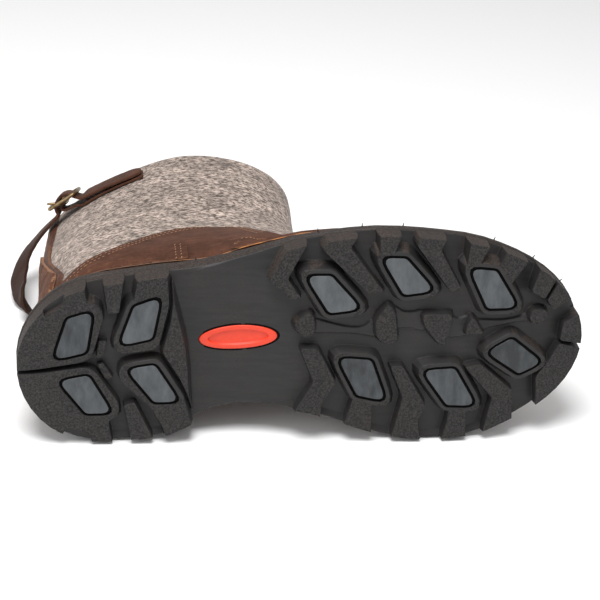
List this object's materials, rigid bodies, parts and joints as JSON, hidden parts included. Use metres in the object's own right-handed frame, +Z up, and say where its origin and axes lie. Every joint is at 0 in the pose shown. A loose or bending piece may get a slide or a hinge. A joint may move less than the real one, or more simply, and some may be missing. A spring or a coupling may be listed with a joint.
{
  "type": "winter boot",
  "caption": "Short right-foot winter boot of grey felt with brown leather panels, a buckled collar strap and a lugged rubber sole with grip pads, lying on its side.",
  "frame": {"origin": "floor level under the middle of the bounding box of the boot, which lies on its medial side", "axes": "+X towards the toe, +Y from the sole towards the collar, +Z up from the floor, which is the boot's lateral direction"},
  "size_m": [0.3158, 0.2352, 0.1188],
  "materials": {
    "sole_rubber": "matt moulded rubber with a fine grain",
    "pad_rubber": "smooth grey rubber compound",
    "orange_rubber": "smooth orange rubber",
    "felt": "thick mottled wool felt",
    "insole_felt": "felt",
    "brown_leather": "oiled nubuck, lightly scuffed",
    "strap_leather": "oiled leather with raw edges",
    "brass": "aged brass"
  },
  "bodies": {
    "root": {"outsole": "sole_rubber", "insole": "insole_felt", "upper": "felt", "arch_oval": "orange_rubber", "fore_pad_lateral_back": "pad_rubber", "fore_pad_lateral_middle": "pad_rubber", "fore_pad_lateral_front": "pad_rubber", "fore_pad_medial_back": "pad_rubber", "fore_pad_medial_middle": "pad_rubber", "fore_pad_medial_front": "pad_rubber", "heel_pad_lateral_back": "pad_rubber", "heel_pad_lateral_front": "pad_rubber", "heel_pad_medial_back": "pad_rubber", "heel_pad_medial_front": "pad_rubber", "side_panel_lateral": "brown_leather", "side_panel_medial": "brown_leather", "heel_guard_lateral": "brown_leather", "heel_guard_medial": "brown_leather", "toe_guard": "brown_leather", "heel_stay": "brown_leather", "heel_patch": "brown_leather", "chape": "strap_leather", "collar_strap": "strap_leather", "buckle": "brass", "prong": "brass"}
  },
  "joints": []
}
